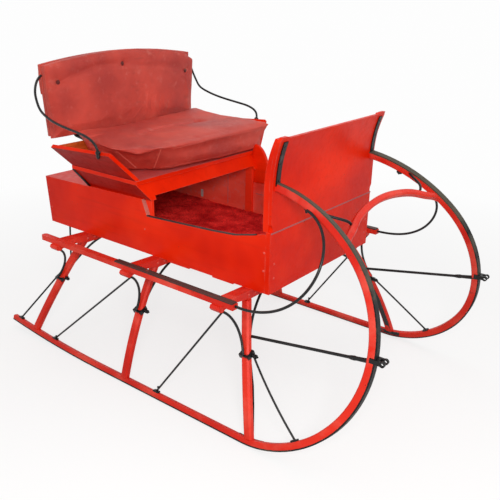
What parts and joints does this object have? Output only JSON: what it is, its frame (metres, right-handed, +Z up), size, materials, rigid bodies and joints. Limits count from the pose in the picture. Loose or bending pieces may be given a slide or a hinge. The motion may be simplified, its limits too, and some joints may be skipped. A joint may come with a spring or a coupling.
{
  "type": "horse drawn sleigh",
  "caption": "One-horse sleigh with bent curled runners, three knee benches braced by irons, a box body with a curved dash, and a cushioned seat with arm rails.",
  "frame": {"origin": "on the floor below the middle of the outline", "axes": "+X forward towards the curls of the runners, +Y to the driver's left, +Z up"},
  "size_m": [1.6972, 1.01, 1.14],
  "materials": {
    "gear_paint": "worn red paint on wood",
    "body_paint": "glossy vermilion paint on wood",
    "shoe_steel": "dull blackened steel",
    "black_iron": "black painted iron",
    "step_strip": "dark worn strip",
    "upholstery": "dusty red leather cloth",
    "carpet": "dark red pile"
  },
  "bodies": {
    "root": {"runner_left": "gear_paint", "runner_right": "gear_paint", "shoe_left": "shoe_steel", "shoe_right": "shoe_steel", "dash_straps": "shoe_steel", "knees_rear": "gear_paint", "knees_middle": "gear_paint", "knees_front": "gear_paint", "beam_rear": "gear_paint", "beam_middle": "gear_paint", "beam_front": "gear_paint", "rail_left": "gear_paint", "rail_right": "gear_paint", "step_strips": "step_strip", "knee_clamps": "black_iron", "outer_knee_irons": "black_iron", "inner_knee_irons": "black_iron", "rear_stays": "black_iron", "middle_stays": "black_iron", "front_stays": "black_iron", "draw_stays": "black_iron", "draw_bars": "black_iron", "shaft_couplings": "black_iron", "front_irons": "black_iron", "cross_bow": "gear_paint", "bow_braces": "black_iron", "floor_board": "body_paint", "carpet": "carpet", "side_panel_left": "body_paint", "side_panel_right": "body_paint", "front_panel": "body_paint", "rear_panel": "body_paint", "rear_deck": "body_paint", "dash_panel": "body_paint", "dash_posts": "body_paint", "seat_riser": "body_paint", "seat_board": "body_paint", "seat_sides": "body_paint", "seat_rear_board": "body_paint", "back_board": "body_paint", "back_irons": "black_iron", "arm_rails": "black_iron", "seat_cushion": "upholstery", "back_cushion": "upholstery"}
  },
  "joints": []
}
